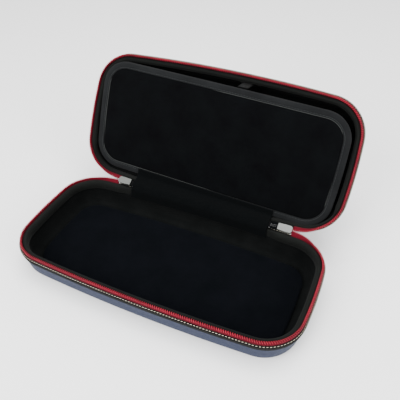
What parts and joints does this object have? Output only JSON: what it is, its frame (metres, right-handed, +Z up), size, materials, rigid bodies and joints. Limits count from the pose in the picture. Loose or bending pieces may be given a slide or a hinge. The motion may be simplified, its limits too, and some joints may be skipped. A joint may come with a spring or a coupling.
{
  "type": "zip case",
  "caption": "Oblong hard case with a zip round three sides, standing open on its fabric hinge, with a lined tray and a divider flap in the lid",
  "frame": {"origin": "centre of the flat underside of the base", "axes": "+X along the length, +Y towards the hinge, +Z up"},
  "size_m": [0.2902, 0.2321, 0.1517],
  "materials": {
    "shell": "satin",
    "lining": "matt",
    "floor_pad": "matt",
    "binding": "matt",
    "tape": "matt",
    "teeth": "gloss",
    "hinge_cloth": "matt",
    "divider_board": "matt",
    "divider_cloth": "matt",
    "hem": "matt",
    "tab": "matt",
    "slider": "satin",
    "stop": "satin"
  },
  "bodies": {
    "base": {"base_shell": "shell", "base_lining": "lining", "base_floor_pad": "floor_pad", "base_binding": "binding", "base_zipper_tape": "tape", "base_zipper_teeth": "teeth", "hinge_web": "hinge_cloth", "hinge_strip": "hinge_cloth"},
    "lid": {"lid_shell": "shell", "lid_lining": "lining", "lid_binding": "binding", "lid_zipper_tape": "tape", "lid_zipper_teeth": "teeth", "lid_patch": "tab"},
    "divider": {"divider_board": "divider_board", "divider_cover": "divider_cloth", "divider_hem_band": "hem", "divider_tab": "tab"},
    "zip_end_left": {"chain_teeth_left": "teeth", "chain_tapes_left": "tape", "chain_stop_left": "stop"},
    "zip_end_right": {"chain_teeth_right": "teeth", "chain_tapes_right": "tape", "chain_stop_right": "stop"},
    "slider_left": {"slider_left": "slider"},
    "slider_right": {"slider_right": "slider"},
    "pull_left": {"pull_left": "slider"},
    "pull_right": {"pull_right": "slider"}
  },
  "joints": [
    {"name": "lid_hinge", "type": "hinge", "parent": "base", "child": "lid", "pos_m": [0, 0.0682, 0.034], "axis": [1, 0, 0], "range_deg": [0, 121], "deforming": ["hinge_web", "hinge_strip"]},
    {"name": "divider_hinge", "type": "hinge", "parent": "lid", "child": "divider", "pos_m": [0, 0.08134, 0.03554], "axis": [1, 0, 0], "range_deg": [0, 5]},
    {"name": "zip_turn_left", "type": "hinge", "parent": "base", "child": "zip_end_left", "pos_m": [-0.085, 0.0682, 0.034], "axis": [1, 0, 0], "range_deg": [0, 60.5]},
    {"name": "zip_turn_right", "type": "hinge", "parent": "base", "child": "zip_end_right", "pos_m": [0.09, 0.0682, 0.034], "axis": [1, 0, 0], "range_deg": [0, 60.5]},
    {"name": "slide_left", "type": "slide", "parent": "zip_end_left", "child": "slider_left", "axis": [1, 0, 0], "range_m": [0, 0.001]},
    {"name": "slide_right", "type": "slide", "parent": "zip_end_right", "child": "slider_right", "axis": [-1, 0, 0], "range_m": [0, 0.0075]},
    {"name": "pull_swing_left", "type": "hinge", "parent": "slider_left", "child": "pull_left", "pos_m": [-0.08775, 0.06968, 0.03139], "axis": [0, 0.8704, 0.4924], "range_deg": [-30, 50]},
    {"name": "pull_swing_right", "type": "hinge", "parent": "slider_right", "child": "pull_right", "pos_m": [0.09425, 0.06968, 0.03139], "axis": [0, 0.8704, 0.4924], "range_deg": [-50, 30]}
  ],
  "couplings": [
    {"joint": "zip_turn_left", "follows": "lid_hinge", "ratio": 0.5},
    {"joint": "zip_turn_right", "follows": "lid_hinge", "ratio": 0.5}
  ]
}
